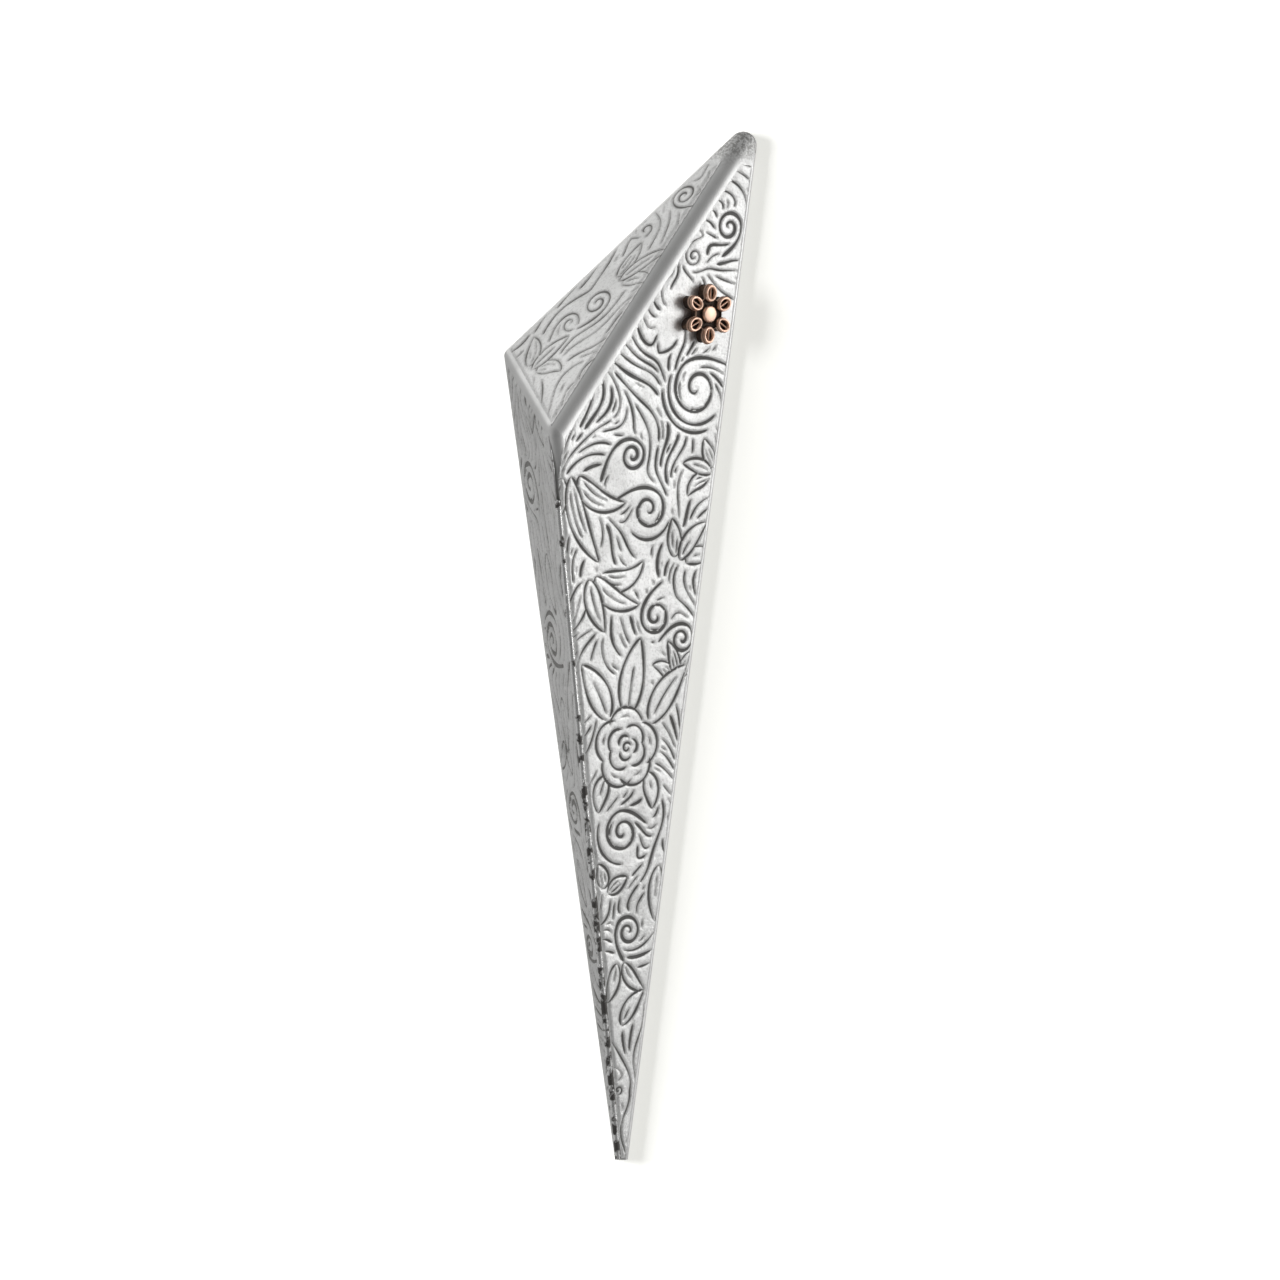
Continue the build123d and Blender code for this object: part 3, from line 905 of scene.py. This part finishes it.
emblemLook = {
    "centre": (16.05, 39.5),
    "petals": 6,
    "petalReach": 3.35,  # from the centre to the middle of a petal
    "petalHalf": (1.5, 1.175),
    "firstPetal": 90,
    "hub": 2.6,
    "backing": 1.5,
    "face": 0.9,
    "bevel": 0.2,
    "boss": 1.45,
    "hollow": 0.52,  # share of a petal that is sunk inside its rim
    "sectors": 216,
    "rings": 44,
}


def smooth(share):
    share = min(1.0, max(0.0, share))
    return share * share * (3 - 2 * share)


def rosetteReach(angle, inset):  # from the centre to the outline at this angle
    look = emblemLook
    a, b = look["petalHalf"][0] - inset, look["petalHalf"][1] - inset
    reach = look["hub"] - inset
    for petal in range(look["petals"]):
        turn = angle - radians(look["firstPetal"]) - 2 * pi * petal / look["petals"]
        along, across = cos(turn), sin(turn)
        square = (along / a) ** 2 + (across / b) ** 2
        middle = look["petalReach"] * along / a ** 2
        left = middle ** 2 - square * ((look["petalReach"] / a) ** 2 - 1)
        if along > 0 and left > 0:
            reach = max(reach, (middle + sqrt(left)) / square)
    return reach


def petalHeight(angle, radius, toEdge):  # share of the face's height, 0 in the hollows and 1 on the crowns
    look = emblemLook
    step = 2 * pi / look["petals"]
    turn = (angle - radians(look["firstPetal"]) + step / 2) % step - step / 2
    along = (radius * cos(turn) - look["petalReach"]) / look["petalHalf"][0]
    across = radius * sin(turn) / look["petalHalf"][1]
    ring = hypot(along, across)
    rim = smooth((1.02 - ring) / 0.16) * smooth((ring - look["hollow"]) / 0.14)
    rib = 0.8 * smooth((0.16 - abs(across)) / 0.12) * smooth((1.0 - ring) / 0.2)
    dome = 0.86 + 0.14 * cos(radius / look["boss"] * pi / 2)
    hub = smooth((look["boss"] - radius) / 0.22) * dome
    return max(rim, rib, hub) * (0.5 + 0.5 * smooth(toEdge / look["bevel"]))


def emblemPieces():
    look = emblemLook
    sheet = facets["front"]
    centre = sheet.seen(*look["centre"])
    angles = [2 * pi * i / look["sectors"] for i in range(look["sectors"])]

    def point(angle, radius, height):
        return sheet.lift(around(centre, radius, angle), height)

    bottom, top = look["backing"], look["backing"] + look["face"]
    rings, values = [[point(0, 0, bottom)]], [0.0]
    for height in (bottom, bottom + look["face"] * 0.25, bottom + look["face"] * 0.5):
        rings.append([point(angle, rosetteReach(angle, 0), height) for angle in angles])
        values += [0.55] * len(angles)
    for ring in range(1, look["rings"]):
        share = 1 - (ring / look["rings"]) ** 1.25
        line = []
        for angle in angles:
            reach = rosetteReach(angle, 0)
            rise = petalHeight(angle, reach * share, reach * (1 - share))
            line.append(point(angle, reach * share, bottom + look["face"] * (0.08 + 0.92 * rise)))
            values.append(rise)
        rings.append(line)
    rings.append([point(0, 0, top)])
    values.append(1.0)
    face = ringStack("rosette_face", rings, finishes["copper"], values)

    chance = random.Random(5)
    lumps = [(chance.uniform(0, 6.3), chance.randint(5, 17), chance.uniform(0.2, 1.0)) for _ in range(7)]
    rings = [[point(0, 0, -0.05)]]
    for height in (-0.05, 0.0, 0.2, 0.4, 0.6, 0.8, 1.0, 1.2, 1.35, 1.46, 1.5):
        line = []
        for angle in angles:
            waves = [part * sin(angle * times + phase + height * 4) for phase, times, part in lumps]
            rough = sum(waves) / len(lumps)
            pinch = 0.12 + 0.10 * sin(pi * height / 1.5) + 0.04 * rough
            line.append(point(angle, rosetteReach(angle, pinch), height))
        rings.append(line)
    rings.append([point(0, 0, bottom)])
    backing = ringStack("rosette_backing", rings, finishes["oxidised_copper"])
    return face, backing


face, backing = emblemPieces()
for mesh, node, slotName in (
    (face, "copper_emblem", "copper"),
    (backing, "emblem_backing", "oxidised_copper"),
):
    piece = addObject(mesh.name, mesh)
    finishPiece(piece, "shell")
    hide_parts(node)
print("rosette made")


# seam: a drawn bead of solder with blobs along it

seamLook = {
    "Bead Radius": 0.49,
    "Blob Radius": 0.25,
    "Blob Spacing": 1.5,
    "Seed": 4,
    "depth": 0.44,  # of the bead's centre below the sharp ridge
    "blobLift": 0.36,  # how far the blobs' centres stand out from the bead's
    "start": 0.089,  # share of the ridge left plain below the peak
    "footGap": 0.12,
    "sampleLength": 0.22,
    "blobShift": 0.16,  # how far a blob may lie off the line
    "blobStretch": 1.7,
    "leftOut": 0.35,  # share of the blobs left out, by their own seed
    "leftOutSeed": 21,
    "Lowest Blob": caseShape["footCut"] + 0.9,
}


def makeSeamTree():
    floats = ("Bead Radius", "Blob Radius", "Blob Spacing", "Lowest Blob")
    graph, given = nodeTree("solderSeam", floats, Seed="Int", Outward="Vector")
    path = graph.add("MeshToCurve", {"Mesh": given["Geometry"]})[0]
    fine = {"Curve": path, "Length": seamLook["sampleLength"] * mm}
    line = graph.add("ResampleCurve", fine, mode="LENGTH")[0]
    place = graph.add("InputPosition")[0]
    swell = graph.noise(2.4, 3.0, 0.7, place) * 0.3 + 0.85
    profile = graph.add("CurvePrimitiveCircle", {"Resolution": 10, "Radius": 1.0})[0]
    radius = given["Bead Radius"] * mm * swell
    inputs = {"Curve": line, "Profile Curve": profile, "Scale": radius, "Fill Caps": True}
    bead = graph.add("CurveToMesh", inputs)[0]
    inputs = {"Curve": path, "Length": given["Blob Spacing"] * mm}
    spots = graph.add("ResampleCurve", inputs, mode="LENGTH")[0]
    spots = graph.add("CurveToPoints", {"Curve": spots}, mode="EVALUATED")
    reach = seamLook["blobShift"] * mm
    inputs = {0: (-reach,) * 3, 1: (reach,) * 3, "Seed": given["Seed"]}
    shift = graph.add("FunctionNodeRandomValue", inputs, data_type="FLOAT_VECTOR")[0]
    shift = graph.add("ShaderNodeVectorMath", {0: shift, 1: given["Outward"]}, operation="ADD")[0]
    loose = graph.add("SetPosition", {"Geometry": spots["Points"], "Offset": shift})[0]
    size = graph.add("FunctionNodeRandomValue", {2: 0.35, 3: 1.0, "Seed": given["Seed"]})[1]
    thin = size * given["Blob Radius"] * mm
    long = thin * seamLook["blobStretch"]
    scale = graph.add("ShaderNodeCombineXYZ", {"X": thin, "Y": thin, "Z": long})[0]
    draw = graph.add("FunctionNodeRandomValue", {2: 0.0, 3: 1.0, "Seed": seamLook["leftOutSeed"]})[1]
    height = graph.add("ShaderNodeSeparateXYZ", {0: place})["Z"]
    keep = draw.math("GREATER_THAN", seamLook["leftOut"])
    keep = keep * height.math("GREATER_THAN", given["Lowest Blob"] * mm)
    ball = graph.add("MeshIcoSphere", {"Radius": 1.0, "Subdivisions": 2})[0]
    inputs = {"Points": loose, "Selection": keep, "Instance": ball, "Scale": scale}
    inputs["Rotation"] = spots["Rotation"]
    blobs = graph.add("InstanceOnPoints", inputs)[0]
    joined = graph.add("JoinGeometry")
    for part in (blobs, bead):
        graph.tree.links.new(part.socket, graph.tree.nodes[-1].inputs[0])
    return endTree(graph, given, joined[0])


ridgeOut = (facets["front"].out + facets["left"].out).normalized()
drop = peak.z - caseShape["footCut"] - seamLook["footGap"]
ridgeFoot = peak.lerp(footCorner, drop / (peak.z - footCorner.z))
ridge = [peak.lerp(ridgeFoot, seamLook["start"]), ridgeFoot]
ridge = [(point - ridgeOut * seamLook["depth"]) * mm for point in ridge]
line = bpy.data.meshes.new("seamLine")
line.from_pydata(ridge, [(0, 1)], [])
blobLift = tuple(ridgeOut * seamLook["blobLift"] * mm)
settings = {**seamLook, "Outward": blobLift, "Material": finishes["solder"]}
seam = grown("solder_seam", line, makeSeamTree(), settings)
finishPiece(seam, "shell")
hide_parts("ridge_seam_bead")
print("seam made", len(seam.data.polygons), "faces")


# wood screws: a turned blank whose shank gets its thread from a node tree

screwLook = {
    "Pitch": 1.25,
    "Thread Depth": 0.5,
    "Shank Start": 0.6,  # from the wall, where the thread begins
    "headTop": -1.4,
    "headRadius": 2.75,
    "neckRadius": 1.62,
    "shankRadius": 1.5,
    "tipStart": 11.6,
    "tipEnd": 14.6,
    "recess": (0.3, 1.4, 0.9),  # half width, half length and depth of the cross
    "clear": 0.02,  # the shank stays this far inside its full radius
    "cell": 0.12,  # along the shank
    "tipRings": 24,
    "sectors": 48,
}


def makeThreadTree():
    graph, given = nodeTree("woodThread", ("Pitch", "Thread Depth", "Shank Start", "Height"))
    place = graph.add("ShaderNodeSeparateXYZ", {0: graph.add("InputPosition")[0]})
    x, y, z = place["X"] / mm, place["Y"] / mm, place["Z"] / mm - given["Height"]
    radius = (x * x + z * z).math("SQRT").atLeast(0.001)
    turn = z.math("ARCTAN2", x) / (2 * pi)
    phase = (y / given["Pitch"] + turn).math("FRACT")
    valley = 1 - (phase * 2 - 1).math("ABSOLUTE") * 2.2
    share = (1 - valley.atLeast(0.0)) * 1.0
    cut = given["Thread Depth"] * (1 - share.atMost(1.0))
    active = y.step(given["Shank Start"] - 0.3, given["Shank Start"] + 0.3) * radius.step(0.3, 1.2)
    inward = cut * active / radius * -mm
    offset = graph.add("ShaderNodeCombineXYZ", {"X": x * inward, "Z": z * inward})[0]
    inputs = {"Geometry": given["Geometry"], "Offset": offset}
    return endTree(graph, given, graph.add("SetPosition", inputs)[0])


def screwBlank(height):
    look = screwLook
    angles = [2 * pi * (i + 0.5) / look["sectors"] for i in range(look["sectors"])]
    halfWidth, halfLength, depth = look["recess"]

    def ring(radius, y):
        line = []
        for angle in angles:
            x, z = radius * cos(angle), radius * sin(angle)
            short, long = sorted((abs(x), abs(z)))
            sink = y
            if y <= look["headTop"] + 0.001:
                wall = min((halfWidth - short) / 0.08, (halfLength - long) / 0.25)
                sink += depth * min(1.0, max(0.0, wall))
            line.append((x * mm, sink * mm, (z + height) * mm))
        return line

    rings = [[(0, (look["headTop"] + depth) * mm, height * mm)]]
    rings += [ring(0.09 * i, look["headTop"]) for i in range(1, 20)]
    rings += [ring(r, look["headTop"]) for r in (2.0, 2.4, look["headRadius"] - 0.05)]
    slope = look["headRadius"] - look["neckRadius"]
    rings += [ring(look["headRadius"], look["headTop"] + 0.05)]
    rings += [ring(look["neckRadius"], look["headTop"] + 0.05 + slope), ring(look["neckRadius"], -0.1)]
    shank, cell = look["shankRadius"] - look["clear"], look["cell"]
    steps = int((look["tipStart"] - 0.1) / cell)
    rings += [ring(shank, 0.05)] + [ring(shank, 0.1 + cell * i) for i in range(1, steps)]
    tip = look["tipEnd"] - 0.08 - look["tipStart"]
    for i in range(look["tipRings"]):
        share = (i + 1) / (look["tipRings"] + 1)
        rings.append(ring(shank * (1 - share) ** 0.8 + 0.05, look["tipStart"] + tip * share))
    rings.append([(0, (look["tipEnd"] - 0.03) * mm, height * mm)])
    return ringStack("screwBlank", rings, finishes["screw_brass"])


threadTree = makeThreadTree()
for name, height in (("upper", 42.0), ("lower", -42.0)):
    settings = {**screwLook, "Height": height, "Material": finishes["screw_brass"]}
    screw = grown(name + "_wood_screw", screwBlank(height), threadTree, settings)
    finishPiece(screw, "wall_plate")
    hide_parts(name + "_mounting_screw")
print("screws made")


# the wall it stands on, the lights and the camera

studio = {
    "cameraDistance": 1500,
    "cameraAim": (6.2, -12.8),  # across and up
    "frameWidth": 204.8,
    "frameDepth": 8,  # the distance from the wall at which the frame is that wide
    "lights": (
        {"name": "rightSoftbox", "place": (900, -150, 150), "size": (320, 600), "power": 1.75},
        {"name": "keySoftbox", "place": (-980, -720, 180), "size": (520, 520), "power": 13.0,
         "inReflections": False},
        {"name": "topFill", "place": (-600, 350, 700), "size": (500, 500), "power": 0.6},
    ),
    "worldFront": 0.20,
    "worldSide": 0.50,
    "backdrop": 0.95,
    "lightAim": (5, -8, -12),
    "wallReach": 3.0,  # in metres, like the next two
    "wallGap": 0.0003,
    "glowRises": (0.3, 0.8),  # beyond the lights, the wall's own glow rises to white
    "wallGlow": (0.47, 0.47, 0.437),
}


def paintWall(graph):
    speck = graph.noise(40.0, 2.0, 0.5)
    colour = graph.blend(speck, (0.93, 0.93, 0.925), (0.91, 0.91, 0.905))
    away = graph.add("VectorMath", {0: graph.objectPlace()}, operation="LENGTH")["Value"]
    glow = graph.blend(away.step(*studio["glowRises"]), studio["wallGlow"], (1.0, 1.0, 1.0))
    inputs = {"Base Color": colour, "Roughness": 0.9, "Specular IOR Level": 0.0,
              "Emission Color": glow, "Emission Strength": 1.0}
    front = graph.add("BsdfPrincipled", inputs)[0]
    clear = graph.add("BsdfTransparent")[0]
    behind = graph.add("NewGeometry")["Backfacing"]
    return graph.add("MixShader", {0: behind, 1: front, 2: clear})[0]


wallMesh = bpy.data.meshes.new("wall")
reach, gap = studio["wallReach"], studio["wallGap"]
wallCorners = [(x * reach, gap, z * reach) for x, z in ((-1, -1), (1, -1), (1, 1), (-1, 1))]
wallMesh.from_pydata(wallCorners, [], [(0, 1, 2, 3)])
wallMesh.materials.append(makeMaterial("paleWall", paintWall))
wall = addObject("wall", wallMesh)
wall.visible_diffuse = wall.visible_glossy = wall.visible_transmission = wall.visible_shadow = False

for lamp in studio["lights"]:
    light = bpy.data.lights.new(lamp["name"], "AREA")
    light.shape = "RECTANGLE"
    light.size, light.size_y = (side * mm for side in lamp["size"])
    light.energy = lamp["power"]
    holder = addObject(lamp["name"], light)
    holder.visible_glossy = lamp.get("inReflections", True)
    holder.location = Vector(lamp["place"]) * mm
    towards = Vector(studio["lightAim"]) * mm - holder.location
    holder.rotation_euler = towards.to_track_quat("-Z", "Y").to_euler()

world = bpy.data.worlds.new("studioAir")
world.use_nodes = True
bpy.context.scene.world = world
sky = Graph(world.node_tree)
direction = sky.add("SeparateXYZ", {0: sky.add("TexCoord")["Generated"]})
rise = studio["worldSide"] - studio["worldFront"]
level = direction["Y"].step(-0.95, -0.25) * rise + studio["worldFront"]
seenDirectly = sky.add("LightPath")["Is Camera Ray"]
strength = level * (1 - seenDirectly) + seenDirectly * studio["backdrop"]
background = sky.add("Background", {"Color": (1.0, 1.0, 1.0, 1.0), "Strength": strength})[0]
sky.add("OutputWorld", {"Surface": background})

camera = bpy.data.cameras.new("camera")
camera.sensor_width = 36
camera.lens = 36 * studio["cameraDistance"] / studio["frameWidth"]
camera.clip_end = 20
holder = addObject("camera", camera)
acrossAim, upAim = studio["cameraAim"]
holder.location = Vector((acrossAim, -studio["cameraDistance"] - studio["frameDepth"], upAim)) * mm
holder.rotation_euler = (radians(90), 0, 0)
bpy.context.scene.camera = holder
bpy.context.scene.view_settings.view_transform = "Standard"
print("studio ready")
